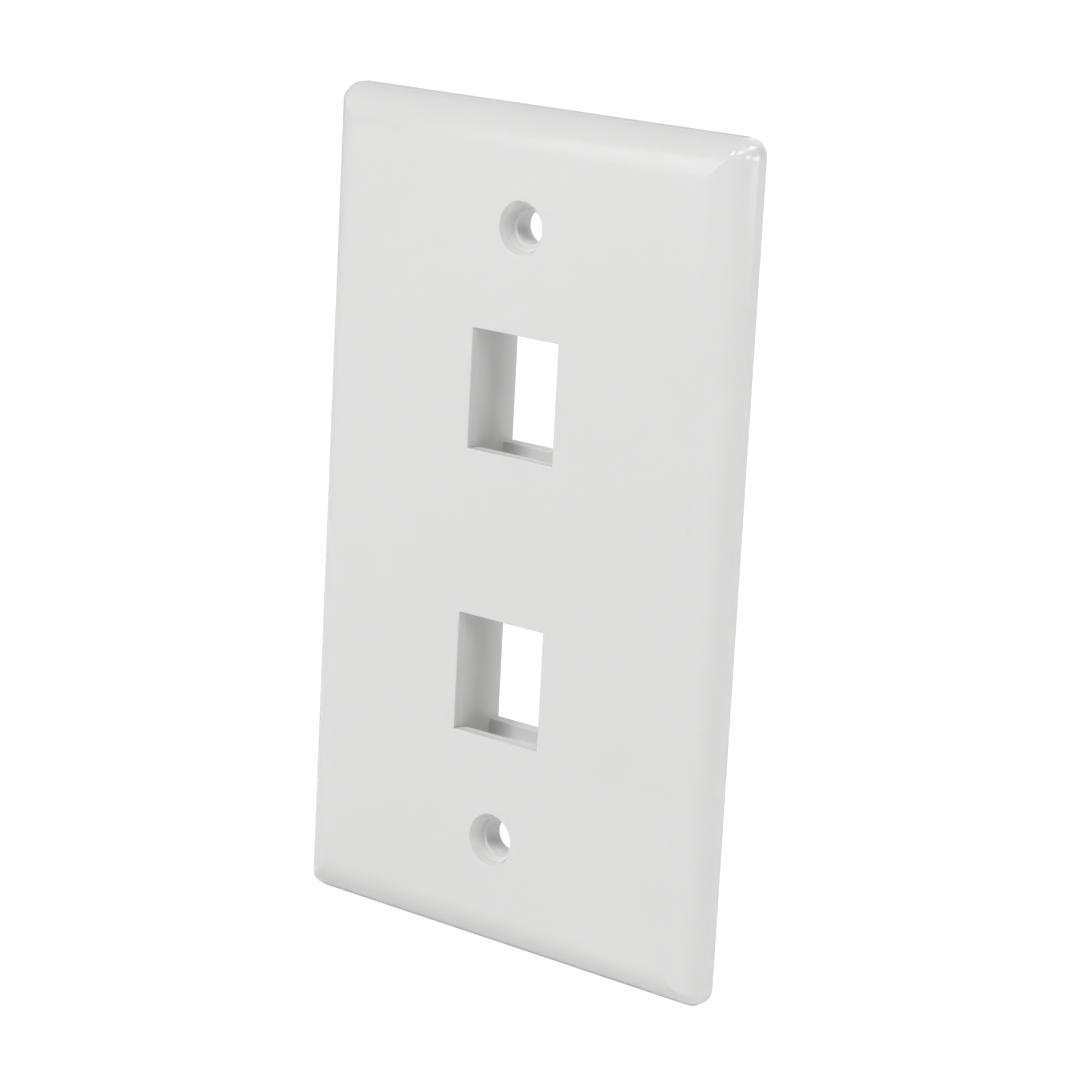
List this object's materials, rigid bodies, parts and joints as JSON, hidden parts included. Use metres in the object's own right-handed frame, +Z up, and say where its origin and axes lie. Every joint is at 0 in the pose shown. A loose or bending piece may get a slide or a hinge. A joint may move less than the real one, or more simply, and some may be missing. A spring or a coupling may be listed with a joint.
{
  "type": "keystone faceplate",
  "caption": "Upright wall plate with a curved, mitred bevel, square snap-in jack openings with latch housings behind, and countersunk screw holes.",
  "frame": {"origin": "midway between the two screw holes, on the plane of the wall that the rear rim rests on", "axes": "+Z up along the plate's height, +X to the right seen from the front, the front faces -Y and +Y goes into the wall"},
  "size_m": [0.0698, 0.0093, 0.1142],
  "materials": {
    "faceplate": "smooth moulded, satin gloss"
  },
  "bodies": {
    "root": {"faceplate": "faceplate"}
  },
  "joints": []
}
